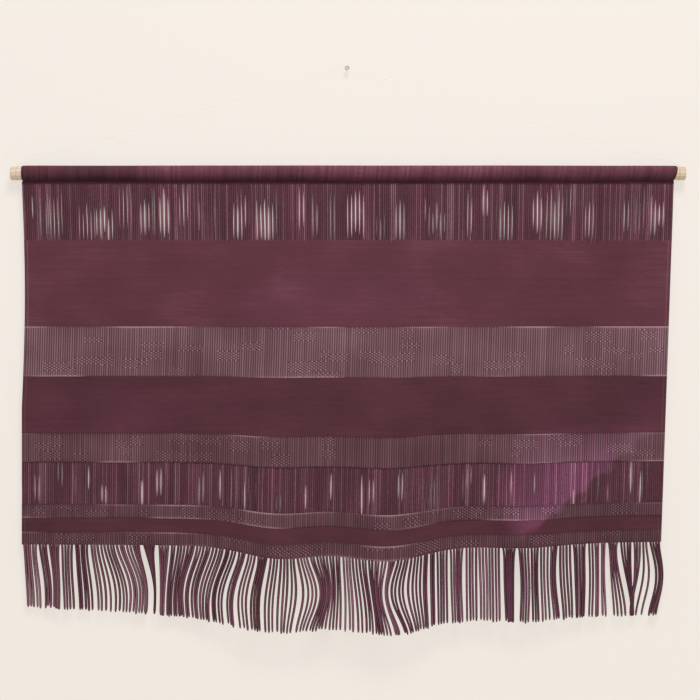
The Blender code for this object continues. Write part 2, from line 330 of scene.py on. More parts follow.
def add_node(tree, kind, inputs, **settings):
    """A node with its settings, and with each input set to a value or linked from an output."""
    made = tree.nodes.new(kind)
    for key, value in settings.items():
        setattr(made, key, value)
    for key, value in inputs.items():
        if isinstance(value, bpy.types.NodeSocket):
            tree.links.new(value, made.inputs[key])
        else:
            made.inputs[key].default_value = value
    return made


def attribute(tree, name, output="Fac"):
    return add_node(tree, "ShaderNodeAttribute", {}, attribute_name=name).outputs[output]


def mix_colour(tree, factor, first, second, blend="MIX"):
    mixed = add_node(
        tree, "ShaderNodeMix", {0: factor, 6: first, 7: second}, data_type="RGBA", blend_type=blend
    )
    return mixed.outputs[2]


def spread(tree, value, low, high, start=0.0, end=1.0):
    """The value rescaled from low..high to start..end, and held there outside."""
    inputs = {"Value": value, "From Min": low, "From Max": high, "To Min": start, "To Max": end}
    return add_node(tree, "ShaderNodeMapRange", inputs).outputs["Result"]


def calculate(tree, operation, first, second):
    return add_node(tree, "ShaderNodeMath", {0: first, 1: second}, operation=operation).outputs[0]


def stretched(tree, place, scale):
    return add_node(tree, "ShaderNodeMapping", {"Vector": place, "Scale": scale}).outputs["Vector"]


def noise(tree, place, scale, detail=3.0, roughness=0.55):
    inputs = {"Vector": place, "Scale": scale, "Detail": detail, "Roughness": roughness}
    return add_node(tree, "ShaderNodeTexNoise", inputs).outputs["Fac"]


def waves(tree, place, pitch, direction, distortion=0.0):
    """A sine across the surface, one period to each pitch along X or Y, or round a yarn for DIAGONAL."""
    period = 2 * math.pi / (10.0 if direction == "DIAGONAL" else 20.0)
    inputs = {"Vector": place, "Scale": period / pitch, "Distortion": distortion, "Detail": 1.0}
    made = add_node(tree, "ShaderNodeTexWave", inputs, wave_type="BANDS", bands_direction=direction)
    return made.outputs["Fac"]


def object_place(tree):
    return add_node(tree, "ShaderNodeTexCoord", {}).outputs["Object"]


def finish_shader(tree, shader, colour, roughness, height, strength, distance):
    """Join a material's colour, roughness and bump to its shader."""
    tree.links.new(colour, shader.inputs["Base Color"])
    tree.links.new(roughness, shader.inputs["Roughness"])
    bump = add_node(tree, "ShaderNodeBump", {"Height": height, "Strength": strength, "Distance": distance})
    tree.links.new(bump.outputs["Normal"], shader.inputs["Normal"])


def textile(name, deep, middle, light, weave, slub=0.1, wander=0.3, painted_furrow_shade=0.66, relief=0.0004):
    """Wool whose colour runs from deep to light with the mesh's shade, its own slow wander and its slubs.

    The function weave makes the fine pattern, whose low places are darkened with painted shade, as in the
    furrows between threads, and dented by relief.
    """
    material, tree, shader = new_material(name)
    place = attribute(tree, "weave_place", "Vector")
    clouds = spread(tree, noise(tree, place, 7.0), 0.3, 0.7, -wander / 2, wander / 2)
    slubs = noise(tree, stretched(tree, place, (0.2, 1.0, 1.0)), 260.0, 4.0)
    lightness = calculate(tree, "ADD", attribute(tree, "shade"), clouds)
    lightness = calculate(tree, "ADD", lightness, spread(tree, slubs, 0.3, 0.7, -slub / 2, slub / 2))
    ramp = add_node(tree, "ShaderNodeValToRGB", {0: lightness})
    ramp.color_ramp.elements[0].color = deep
    ramp.color_ramp.elements[1].color = light
    ramp.color_ramp.elements.new(0.5).color = middle
    colour = mix_colour(tree, attribute(tree, "tone"), ramp.outputs["Color"], MAUVE_TINT, "MULTIPLY")
    pattern = weave(tree, place)
    fuzz = noise(tree, place, 900.0, 2.0)
    height = calculate(tree, "ADD", pattern, calculate(tree, "MULTIPLY", fuzz, 0.6))
    # Painted shade: the colour is darkened in the weave's low places, where shade falls between the threads.
    darker = add_node(tree, "ShaderNodeHueSaturation", {"Value": painted_furrow_shade, "Color": colour}).outputs["Color"]
    colour = mix_colour(tree, spread(tree, height, 0.15, 0.95), darker, colour)
    roughness = spread(tree, fuzz, 0.3, 0.7, 0.78, 0.95)
    finish_shader(tree, shader, colour, roughness, height, 0.5, relief)
    shader.inputs["Sheen Weight"].default_value = 0.08
    shader.inputs["Sheen Roughness"].default_value = 0.45
    shader.inputs["Sheen Tint"].default_value = linear(214, 180, 190)
    shader.inputs["Specular IOR Level"].default_value = 0.2
    return material


def plain_weave(tree, place):
    """Fine weft rows over closely set warp ends."""
    weft = waves(tree, place, 0.0021, "Y", 1.2)
    warp = waves(tree, place, YARN_PITCH, "X", 0.6)
    warp = calculate(tree, "MULTIPLY", warp, 0.3)
    return calculate(tree, "ADD", calculate(tree, "MULTIPLY", weft, 0.7), warp)


def rib_weave(tree, place):
    """Short stitches across each raised rib."""
    return waves(tree, place, 0.0016, "Y", 1.6)


def yarn_twist(tree, place):
    """Two plies wound round each other."""
    return waves(tree, place, TWIST_PITCH / 2, "DIAGONAL", 0.8)


def make_pale_wood():
    """Straight-grained pale hardwood with soft growth rings, fine pores and a few darker streaks."""
    material, tree, shader = new_material("pale_wood_grain")
    place = object_place(tree)
    tilt = {"Location": (0.0, -0.02, 0.23), "Rotation": (0.0, 0.03, 0.02), "Scale": (0.6, 1, 1)}
    tilted = add_node(tree, "ShaderNodeMapping", {"Vector": place, **tilt}).outputs["Vector"]
    rings_inputs = {"Vector": tilted, "Scale": 95.0, "Distortion": 2.5, "Detail": 3.0, "Detail Scale": 0.6}
    rings = add_node(
        tree, "ShaderNodeTexWave", rings_inputs, wave_type="RINGS", rings_direction="X"
    ).outputs["Fac"]
    streaks = noise(tree, stretched(tree, place, (0.02, 1.0, 1.0)), 380.0, 5.0)
    pores = noise(tree, stretched(tree, place, (0.05, 1.0, 1.0)), 1500.0, 2.0)
    colour = mix_colour(tree, spread(tree, rings, 0.2, 0.9), linear(226, 208, 187), linear(208, 184, 155))
    colour = mix_colour(tree, spread(tree, streaks, 0.45, 0.75, 0.0, 0.4), colour, linear(168, 142, 110))
    colour = mix_colour(tree, spread(tree, pores, 0.62, 0.75, 0.0, 0.4), colour, linear(142, 114, 84))
    roughness = spread(tree, streaks, 0.3, 0.7, 0.42, 0.62)
    height = calculate(tree, "ADD", pores, calculate(tree, "MULTIPLY", rings, 0.5))
    finish_shader(tree, shader, colour, roughness, height, 0.25, 0.0002)
    return material


def make_nail_steel():
    """Dull bright-drawn steel with light scratches and a few darker stains."""
    material, tree, shader = new_material("nail_steel_brushed")
    place = object_place(tree)
    scratches = noise(tree, stretched(tree, place, (1.0, 1.0, 9.0)), 900.0, 3.0)
    stains = noise(tree, place, 260.0, 4.0)
    colour = mix_colour(tree, spread(tree, stains, 0.4, 0.7), linear(216, 210, 198), linear(158, 149, 137))
    shader.inputs["Metallic"].default_value = 0.85
    roughness = spread(tree, scratches, 0.3, 0.7, 0.3, 0.55)
    finish_shader(tree, shader, colour, roughness, scratches, 0.3, 0.0001)
    return material


def make_clear_line():
    """Clear monofilament: glossy, with fine drawn streaks along it."""
    material, tree, shader = new_material("clear_monofilament")
    place = object_place(tree)
    streaks = noise(tree, stretched(tree, place, (0.1, 1.0, 0.1)), 2500.0, 2.0)
    colour = mix_colour(tree, streaks, linear(236, 234, 228), linear(214, 212, 206))
    tree.links.new(colour, shader.inputs["Base Color"])
    tree.links.new(spread(tree, streaks, 0.3, 0.7, 0.08, 0.2), shader.inputs["Roughness"])
    shader.inputs["IOR"].default_value = 1.53
    shader.inputs["Transmission Weight"].default_value = 0.5
    shader.inputs["Alpha"].default_value = 0.16
    return material


PALE_WOOD = make_pale_wood()
NAIL_STEEL = make_nail_steel()
CLEAR_LINE = make_clear_line()
POCKET_WOOL = textile("pocket_wool", PLUM_DEEP, PLUM, PLUM_LIGHT, plain_weave)
PLAIN_WOOL = textile("plain_wool", PLUM_DEEP, PLUM, PLUM_LIGHT, plain_weave, slub=0.06, wander=0.12)
RIB_WOOL = textile("ribbed_wool", RIB_DEEP, RIB, RIB_LIGHT, rib_weave, slub=0.0, wander=0.12, relief=0.0006)
WARP_YARN = textile("warp_yarn_wool", YARN_DEEP, YARN, YARN_LIGHT, yarn_twist, wander=0.16, painted_furrow_shade=0.82)
FRINGE_YARN = textile("fringe_yarn_wool", YARN_DEEP, YARN, YARN_LIGHT, yarn_twist, wander=0.16, painted_furrow_shade=0.78)


# Studio and camera

FRAME_WIDTH = 1.282  # of the picture, at the cloth
CAMERA_DISTANCE = 3.4
CAMERA_PLACE = Vector((0.0055, DOWEL_PLACE.y - CAMERA_DISTANCE, -0.517))
WALL_COLOUR = linear(243, 236, 228)
WALL_GLOW = 0.74  # share of the wall's brightness that shadows can't take away
FLOOR_HEIGHT = -1.6
WALL_HEIGHT = 2.2
WALL_HALF_WIDTH = 4.0
FLOOR_FRONT = -6.0
FLOOR_BACK = 2.0


def make_camera():
    data = bpy.data.cameras.new("picture_camera")
    data.lens = data.sensor_width * CAMERA_DISTANCE / FRAME_WIDTH
    camera = add_object("picture_camera", data)
    camera.location = CAMERA_PLACE
    camera.rotation_euler = (math.pi / 2, 0.0, 0.0)
    bpy.context.scene.camera = camera


def make_wall_paint():
    """Cream paint that the lamps and the soft shadows still show on, and clear from behind the wall."""
    material, tree, shader = new_material("studio_wall_paint")
    tree.nodes.remove(shader)
    output = tree.nodes["Material Output"]
    paint = add_node(tree, "ShaderNodeBsdfDiffuse", {"Color": WALL_COLOUR}).outputs[0]
    glow = add_node(tree, "ShaderNodeEmission", {"Color": WALL_COLOUR, "Strength": WALL_GLOW}).outputs[0]
    clear = add_node(tree, "ShaderNodeBsdfTransparent", {}).outputs[0]
    dimmed = add_node(tree, "ShaderNodeMixShader", {0: WALL_GLOW, 1: paint}).outputs[0]
    front = add_node(tree, "ShaderNodeAddShader", {0: dimmed, 1: glow}).outputs[0]
    behind = add_node(tree, "ShaderNodeNewGeometry", {}).outputs["Backfacing"]
    both = add_node(tree, "ShaderNodeMixShader", {0: behind, 1: front, 2: clear}).outputs[0]
    tree.links.new(both, output.inputs["Surface"])
    return material


def make_floor_paint():
    material, tree, shader = new_material("studio_floor_paint")
    place = object_place(tree)
    colour = mix_colour(tree, noise(tree, place, 3.0), linear(238, 233, 226), linear(232, 226, 218))
    tree.links.new(colour, shader.inputs["Base Color"])
    shader.inputs["Roughness"].default_value = 0.8
    return material


def make_stage():
    left, right = -WALL_HALF_WIDTH, WALL_HALF_WIDTH
    low, top = FLOOR_HEIGHT, WALL_HEIGHT
    front, back = FLOOR_FRONT, FLOOR_BACK
    wall = [(left, 0, low), (right, 0, low), (right, 0, top), (left, 0, top)]
    floor = [(left, front, low), (right, front, low), (right, back, low), (left, back, low)]
    face = [np.array([[0, 1, 2, 3]])]
    add_mesh("studio_wall", wall, face, make_wall_paint(), smooth=False)
    add_mesh("studio_floor", floor, face, make_floor_paint(), smooth=False)


def add_lamp(name, place, size, watts, colour=(1.0, 1.0, 1.0)):
    data = bpy.data.lights.new(name, "AREA")
    data.size = size
    data.energy = watts
    data.color = colour
    lamp = add_object(name, data)
    lamp.location = place
    aim = Vector((0.0, 0.0, -0.5)) - lamp.location
    lamp.rotation_euler = aim.to_track_quat("-Z", "Y").to_euler()


def make_light():
    add_lamp("key_softbox", (0.5, -2.7, 2.5), 1.3, 114.0, (1.0, 0.99, 0.985))
    add_lamp("front_fill", (-0.6, -3.8, 0.2), 2.6, 16.0)
    world = bpy.data.worlds.new("studio_air")
    world.use_nodes = True
    background = world.node_tree.nodes["Background"]
    background.inputs["Color"].default_value = linear(240, 240, 241)
    background.inputs["Strength"].default_value = 0.38
    bpy.context.scene.world = world
    bpy.context.scene.view_settings.view_transform = "Standard"


# The hanging line, its turns and its knots

LINE_DIAMETER = 0.001
LINE_RADIUS = LINE_DIAMETER / 2
LINE_HALF_SPAN = 0.6055
LINE_AT_NAIL = -0.008
LINE_BEND_STEPS = 6
LINE_RUN_STEPS = 9
NAIL_RADIUS = 0.0015
KNOT_RADIUS = 0.0015
GAP = 0.0003
LOOP_RADIUS = DOWEL_RADIUS + GAP + LINE_RADIUS
LOOP_TURNS = 2
LOOP_STEPS = 72
LOOP_WIDTH = 0.0012  # between the middles of the first and last turn
KNOT_STEPS = 54
KNOT_SIZE = 0.00042


def knot_place(sign):
    top = DOWEL_PLACE.z + LOOP_RADIUS + LINE_RADIUS + GAP + KNOT_RADIUS
    return Vector((DOWEL_PLACE.x + sign * LINE_HALF_SPAN, DOWEL_PLACE.y, top))


def leaving_angle(knot, bend_radius):
    return math.atan2(knot.z, abs(knot.x)) + math.acos(bend_radius / math.hypot(knot.x, knot.z))


def line_route():
    """The line's centre from the left knot, over the nail, to the right knot."""
    bend_radius = NAIL_RADIUS + GAP + LINE_RADIUS
    knots = [knot_place(-1), knot_place(1)]
    first = math.pi - leaving_angle(knots[0], bend_radius)
    last = leaving_angle(knots[1], bend_radius)
    bend = []
    for k in range(LINE_BEND_STEPS + 1):
        angle = first + (last - first) * k / LINE_BEND_STEPS
        bend.append(Vector((bend_radius * math.cos(angle), LINE_AT_NAIL, bend_radius * math.sin(angle))))
    start = knots[0] + (bend[0] - knots[0]).normalized() * (KNOT_RADIUS + GAP)
    end = knots[1] + (bend[-1] - knots[1]).normalized() * (KNOT_RADIUS + GAP)
    rise = [start.lerp(bend[0], k / LINE_RUN_STEPS) for k in range(LINE_RUN_STEPS)]
    fall = [bend[-1].lerp(end, (k + 1) / LINE_RUN_STEPS) for k in range(LINE_RUN_STEPS)]
    return rise + bend + fall


def add_line_curve(name, places, cyclic=False):
    curve = bpy.data.curves.new(name, "CURVE")
    curve.dimensions = "3D"
    curve.bevel_depth = LINE_RADIUS
    curve.bevel_resolution = 3
    curve.use_fill_caps = not cyclic
    spline = curve.splines.new("POLY")
    spline.use_cyclic_u = cyclic
    spline.use_smooth = True
    spline.points.add(len(places) - 1)
    for point, place in zip(spline.points, places):
        point.co = (*place, 1.0)
    curve.materials.append(CLEAR_LINE)
    return add_object(name, curve)


def make_loop(side, sign):
    """Two close turns of the line round the dowel."""
    places = []
    for k in range(LOOP_STEPS + 1):
        turn = math.tau * LOOP_TURNS * k / LOOP_STEPS
        x = DOWEL_PLACE.x + sign * (LINE_HALF_SPAN - LOOP_WIDTH / 2 + LOOP_WIDTH * k / LOOP_STEPS)
        y = DOWEL_PLACE.y + LOOP_RADIUS * math.sin(turn)
        places.append((x, y, DOWEL_PLACE.z + LOOP_RADIUS * math.cos(turn)))
    loop = add_line_curve(f"line_turns_{side}", places)
    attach(loop, "hanger")
    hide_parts(f"line_loop_{side}")
    return loop


def make_knot(side, sign):
    """A small overhand knot, as a knotted ring of line drawn tight."""
    middle = knot_place(sign)
    places = []
    for k in range(KNOT_STEPS):
        turn = math.tau * k / KNOT_STEPS
        x = math.sin(turn) + 2 * math.sin(2 * turn)
        z = math.cos(turn) - 2 * math.cos(2 * turn)
        y = -math.sin(3 * turn)
        places.append(middle + KNOT_SIZE * Vector((x, 1.3 * y, z)))
    knot = add_line_curve(f"line_tie_{side}", places, cyclic=True)
    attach(knot, "hanger")
    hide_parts(f"line_knot_{side}")
    return knot


def make_line():
    on_line = []
    for side, sign in (("left", -1), ("right", 1)):
        on_line += [make_loop(side, sign), make_knot(side, sign)]
    route = line_route()
    line = add_line_curve("clear_hanging_line", route)
    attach(line, "hanger")
    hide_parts("hanging_line")
    length = sum((b - a).length for a, b in zip(route, route[1:]))
    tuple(route[0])


def finish_hard_parts():
    """The nail and the dowel keep their CAD shapes and get real finishes."""
    for node, material in (("wall_nail", NAIL_STEEL), ("dowel", PALE_WOOD)):
        part = frame["nodes"][node]
        part.data.materials.clear()
        part.data.materials.append(material)


# The rod pocket and its seam

POCKET_TUCK = 0.006  # how far the right end draws in towards its lower corner
POCKET_SIDES = 36
POCKET_CLEARANCE = 0.0004  # between dowel and cloth, and in from the CAD pocket's outside
SHOULDER = 0.004  # length of the pocket's rounded ends
SEAM_SIDES = 10
STITCH_PITCH = 0.0072  # between stitches of the same row
STITCH_HALF_LENGTH = 0.0018
STITCH_RADIUS = 0.0004
STITCH_RINGS = 7
STITCH_SIDES = 6


def pocket_ends(turn):
    """Where the pocket starts and ends along X at an angle round it; 0 is the top, and pi the bottom."""
    low = (1 - np.cos(turn)) / 2
    left = pocket_low.x + 0.0004 + 0.0006 * low
    right = pocket_high.x - 0.0004 - POCKET_TUCK * low**2
    return left, right


def make_pocket(with_pieces):
    """A tube of cloth round the dowel, with soft shoulders at its ends, a wavy skin and faint yarn ribs."""
    generator = np.random.default_rng(11)
    columns = YARN_COUNT * 3 + 1
    share = np.linspace(0.0, 1.0, columns)
    turn = math.pi - math.tau * np.arange(POCKET_SIDES + 1) / POCKET_SIDES
    left, right = pocket_ends(turn)
    x = left[:, None] + (right - left)[:, None] * share[None, :]
    radius = pocket_high.z - DOWEL_PLACE.z
    wander = smooth_noise(generator, POCKET_SIDES + 1, columns, 5.0, 60.0)
    wander[-1] = wander[0]
    creases = smooth_noise(generator, POCKET_SIDES + 1, columns, 3.0, 12.0)
    creases[-1] = creases[0]
    rib = np.cos(math.tau * share * YARN_COUNT)[None, :]
    from_end = np.minimum(x - x[:, :1], x[:, -1:] - x)
    shoulder = np.clip(1 - from_end / SHOULDER, 0, 1) ** 2
    outer = radius - POCKET_CLEARANCE + 0.0005 * wander + 0.0001 * creases + 0.00009 * rib - 0.0011 * shoulder
    inner = np.full_like(outer, DOWEL_RADIUS + POCKET_CLEARANCE)
    points = []
    for skin in (outer, inner):
        y = DOWEL_PLACE.y + skin * np.sin(turn)[:, None]
        z = DOWEL_PLACE.z + skin * np.cos(turn)[:, None]
        points.append(np.stack((x, y, z), axis=-1)[:-1])
    rows = POCKET_SIDES
    count = rows * columns
    index = np.arange(count).reshape(rows, columns)
    below = np.roll(index, -1, 0)
    skin = np.stack((index[:, :-1], index[:, 1:], below[:, 1:], below[:, :-1]), -1).reshape(-1, 4)
    left_rim = np.stack((index[:, 0], below[:, 0], below[:, 0] + count, index[:, 0] + count), -1)
    right_rim = np.stack((below[:, -1], index[:, -1], index[:, -1] + count, below[:, -1] + count), -1)
    points = np.stack(points)
    zero = 0 * points[..., 0]
    place = np.stack((points[..., 0], zero + turn[:-1, None] * radius, zero), -1)
    yarn = np.minimum((share * YARN_COUNT).astype(int), YARN_COUNT - 1)
    streak = 0.22 * (generator.random(YARN_COUNT) - 0.5)[yarn][None, :]
    # The pocket's colour is darker towards its left end.
    darker_left_end = 0.13 * np.exp(-(((x[:-1] + 0.53) / 0.13) ** 2))
    # Painted shade: the cloth darkens round the pocket's underside, away from the light from above, and is a
    # little lighter on the crests of its yarn ribs than between them.
    under = (1 - np.cos(turn[:-1, None])) / 2
    shade = 0.57 + 0.10 * rib + streak + 0.08 * wander[:-1] - 0.38 * under**1.3 - darker_left_end + zero
    pocket = add_mesh(
        "rod_pocket_cloth",
        points,
        [skin, (skin + count)[:, ::-1], left_rim, right_rim],
        POCKET_WOOL,
        {"weave_place": place, "tone": tone_at(points), "shade": shade},
    )
    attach(pocket, "sleeve")
    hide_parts("rod_pocket")


def make_seam():
    """The strip under the pocket: a flattened roll of cloth with a row of slanting stitches on each face."""
    half_height = (seam_high.z - seam_low.z) / 2 + 0.0008
    middle = (seam_low + seam_high) / 2
    columns = 400
    x = np.linspace(pocket_low.x + 0.0012, seam_high.x, columns)
    generator = np.random.default_rng(12)
    wander = smooth_noise(generator, 1, columns, 0, 8.0)[0]
    centres = np.stack((x, np.full(columns, middle.y), middle.z + 0.0004 + 0.0002 * wander), -1)[None]
    height = np.full((1, columns), half_height)
    depth = 0.0014 + 0.00015 * wander[None]
    up = np.broadcast_to(np.array((0.0, 0.0, 1.0)), centres.shape)
    out = np.broadcast_to(np.array((0.0, -1.0, 0.0)), centres.shape)
    roll = tube_points(centres, height, depth, up, out, SEAM_SIDES)
    roll_faces = [block[:, ::-1] for block in tube_faces(1, columns, SEAM_SIDES)]

    # The first half of the stitches lies on the front, and the second, between them, on the back
    starts = np.arange(x[0] + 0.004, x[-1] - 0.004, STITCH_PITCH)
    starts = np.concatenate((starts, starts + STITCH_PITCH / 2))
    face = np.repeat((-1.0, 1.0), len(starts) // 2)[:, None]
    along = np.linspace(-1.0, 1.0, STITCH_RINGS)[None, :]
    bulge = np.sqrt(np.clip(1 - along**2, 0.02, 1.0))
    stitch_x = starts[:, None] + STITCH_HALF_LENGTH * along
    stitch_y = middle.y + face * (0.0013 + 0.0003 * bulge)
    stitch_z = middle.z + 0.0004 - 0.0012 * along + 0 * stitch_x
    stitches = np.stack((stitch_x, stitch_y, stitch_z), -1)
    out = np.broadcast_to(np.array((0.0, -1.0, 0.0)), stitches.shape)
    sideways = unit(np.cross(out, np.gradient(stitches, axis=1)))
    thick = STITCH_RADIUS * bulge + 0 * stitch_x
    thread = tube_points(stitches, thick, thick, sideways, out, STITCH_SIDES)
    made = []
    for name, points, faces, shade in (
        ("pocket_seam_roll", roll, roll_faces, 0.30),
        ("pocket_seam_stitches", thread, tube_faces(len(starts), STITCH_RINGS, STITCH_SIDES), 0.42),
    ):
        place = np.stack((points[..., 0], points[..., 2], points[..., 1]), -1)
        shade = np.full(points.shape[:-1], shade)
        attributes = {"weave_place": place, "tone": tone_at(points), "shade": shade}
        piece = add_mesh(name, points, faces, POCKET_WOOL, attributes)
        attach(piece, "sleeve")
        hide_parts("pocket_seam")
        made.append(piece)
    return made


# The woven bands

EDGE_ROUND = 0.0016  # how far in from a cut or selvedge edge the cloth reaches its full thickness
BAND_OVERLAP = 0.001  # how far a plain band reaches under its neighbours
# Closer steps across a plain band's selvedge
SIDE_STEPS = (0.0, 0.0004, 0.0012, 0.0024, 0.0038, 0.0052, 0.0062, 0.0072, 0.0086)


def spaced(start, end, pitch):
    """Even steps of about pitch, with closer ones at both ends to round the edges."""
    edge = np.array((0.0, 0.0005, 0.0014))
    inner = np.linspace(start + 0.003, end - 0.003, max(2, round((end - start - 0.006) / pitch) + 1))
    return np.concatenate((start + edge, inner, end - edge[::-1]))


def edge_roundness(drops, across):
    """How full the cloth's thickness is, falling away at its cut and selvedge edges."""
    from_top = np.minimum(drops - drops[0], drops[-1] - drops)[:, None]
    from_side = (np.minimum(across, 1 - across) * CLOTH_WIDTH)[None, :]
    near = np.minimum(from_top, from_side) / EDGE_ROUND
    return np.sqrt(np.clip(1 - (1 - np.clip(near, 0, 1)) ** 2, 0.02, 1))


def make_sheet(node, body, slot_name, material, drops, across, reliefs, shade, rests_on, with_pieces):
    """A closed piece of draped cloth with its own relief on both faces."""
    front, back = reliefs
    rows, columns = len(drops), len(across)
    grid_across = np.broadcast_to(across[None, :], (rows, columns))
    grid_drops = np.broadcast_to(drops[:, None], (rows, columns))
    middle = drape(grid_across, grid_drops)
    _, out = drape_frame(grid_across, grid_drops)
    full = edge_roundness(drops, across)[..., None]
    points = np.stack((middle + out * front[..., None] * full, middle - out * back[..., None] * full))
    place = np.stack((grid_across * CLOTH_WIDTH, grid_drops, 0 * grid_drops), -1)
    piece = add_mesh(
        f"{node}_cloth",
        points,
        closed_sheet_faces(rows, columns),
        material,
        {
            "weave_place": np.stack((place, place + (0, 0, 0.5))),
            "tone": tone_at(points),
            "shade": np.stack((shade, shade)),
        },
    )
    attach(piece, body)
    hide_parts(node)
    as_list(rests_on)
    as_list(with_pieces)
    return piece


def selvedge(across):
    """A thicker bound edge on each side, with a narrow groove inside it."""
    from_side = np.minimum(across, 1 - across) * CLOTH_WIDTH
    groove = np.exp(-0.5 * ((from_side - 0.0062) / 0.0007) ** 2)
    cord = np.exp(-0.5 * ((from_side - 0.0022) / 0.0014) ** 2)
    return 0.00035 * cord - 0.0005 * groove, groove


def make_plain_band(node, body, seed, lightness, rests_on, with_pieces=()):
    generator = np.random.default_rng(seed)
    top, bottom = band_span(node)
    drops = spaced(top - BAND_OVERLAP, bottom + BAND_OVERLAP, 0.0016)
    sides = np.array(SIDE_STEPS) / CLOTH_WIDTH
    inner = np.linspace(0.0105, CLOTH_WIDTH - 0.0105, 300) / CLOTH_WIDTH
    across = np.concatenate((sides, inner, 1 - sides[::-1]))
    rows, columns = len(drops), len(across)
    border, groove = selvedge(across)
    reliefs = []
    for _ in (0, 1):
        slubs = smooth_noise(generator, rows, columns, 0.7, 5.0)
        lumps = smooth_noise(generator, rows, columns, 9.0, 6.0)
        reliefs.append(PLAIN_HALF_THICKNESS + 0.00012 * slubs + 0.00025 * lumps + border[None, :])
    shade = lightness + 0.03 * slubs + 0.05 * lumps + 0.25 * groove[None, :]
    look = ("plain_weave", PLAIN_WOOL)
    make_sheet(node, body, *look, drops, across, reliefs, shade, rests_on, with_pieces)


def patch_mask(generator, rows, columns, count):
    """Little rectangles of ribs and rows where the weave changes to a dotted one."""
    mask = np.zeros((rows, columns))
    for _ in range(count):
        wide = generator.integers(4, 12)
        tall = generator.integers(3, 8)
        left = generator.integers(0, columns - wide)
        first = generator.integers(0, max(1, rows - tall))
        mask[first : first + tall, left : left + wide] = 1.0
    return mask


def make_textured_band(node, body, seed, lightness, patches, rests_on, with_pieces=()):
    """Upright ribs with little dotted patches, and a raised cord of weft along the top and bottom edges."""
    generator = np.random.default_rng(seed)
    top, bottom = band_span(node)
    drops = spaced(top, bottom, 0.0024)
    across = np.linspace(0.0, 1.0, RIB_COUNT * 4 + 1)
    rows, columns = len(drops), len(across)
    rib = 0.5 - 0.5 * np.cos(math.tau * across * RIB_COUNT)
    number = np.minimum((across * RIB_COUNT).astype(int), RIB_COUNT - 1)
    strength = 0.78 + 0.22 * generator.random(RIB_COUNT)
    dotted = patch_mask(generator, rows, RIB_COUNT, patches)[:, number]
    check = ((np.arange(rows)[:, None] + number[None, :]) % 2).astype(float)
    ribs = rib[None, :] * strength[number][None, :] * (1 - dotted * (1 - check))
    from_edge = np.minimum(drops - top, bottom - drops)[:, None]
    cord = np.exp(-0.5 * ((from_edge - 0.0012) / 0.0009) ** 2)
    border, _ = selvedge(across)
    lumps = smooth_noise(generator, rows, columns, 6.0, 30.0)
    relief = TEXTURED_HALF_THICKNESS + 0.00055 * ribs * (1 - 0.6 * cord) + 0.0003 * cord + 0.0002 * lumps
    relief = relief + border[None, :]
    tint = 0.10 * (generator.random(RIB_COUNT) - 0.5)[number][None, :]
    # Painted shade: the colour is lighter on the ribs' crests and darker in the valleys between them and in
    # the sunken dots.
    shade = lightness + 0.60 * (ribs - 0.45) + tint + 0.06 * lumps
    shade = shade + dotted * (0.16 + 0.30 * (check - 0.5))
    shade = shade + cord * (0.75 * np.clip(lumps + 0.2, 0.0, 1.0) - 0.15)
    reliefs = (relief, relief - 0.0002)
    look = ("ribbed_weave", RIB_WOOL)
    make_sheet(node, body, *look, drops, across, reliefs, shade, rests_on, with_pieces)


# The open warps

YARN_WANDER = 0.0004  # how far yarns stray to the front and back along their length
YARN_LAYER = 0.00035  # how far whole yarns lie in front of or behind each other
THINNEST_YARN = 0.0006  # half the width of the most squeezed yarn
YARN_OVERLAP = 1.05  # neighbours just touch, so that no light comes between them where there is no gap
STRAY_GAP_SHARE = 0.07  # share of the yarns with a fine gap beside them that isn't one of the slits


def crest(sides):
    """1 on the front and back of a round yarn, whose points start at its back, and 0 on its flanks."""
    return np.abs(np.cos(math.tau * np.arange(sides) / sides)) ** 1.5


def yarn_places(points, down):
    """Where the weave's pattern is read for the points of many yarns: round, down, and yarn by yarn."""
    place = np.empty(points.shape)
    place[..., 0] = np.arange(ROUND_SIDES) / ROUND_SIDES * TWIST_PITCH
    place[..., 1] = down
    place[..., 2] = (np.arange(len(points)) * NEXT_YARN)[:, None, None]
    return place


def scatter_slits(generator, groups, most):
    """Yarn number, first and last share of the height, and width of slits in groups of up to most."""
    for group in range(groups):
        across = (group + 0.5 + 0.45 * generator.uniform(-1, 1)) / groups
        count = int(generator.integers(1, most + 1))
        widest = WIDEST_SLIT * generator.uniform(0.3, 1.0)
        first = generator.uniform(0.0, 0.5)
        last = min(1.0, first + generator.uniform(0.5, 0.9))
        for k in range(count):
            number = round(across * YARN_COUNT + 2 * (k - (count - 1) / 2))
            middle = 1 - 0.35 * abs(2 * k - (count - 1)) / max(1, count - 1)
            start = first + 0.06 * generator.standard_normal()
            end = last + 0.06 * generator.standard_normal()
            yield min(max(number, 2), YARN_COUNT - 2), start, end, widest * middle


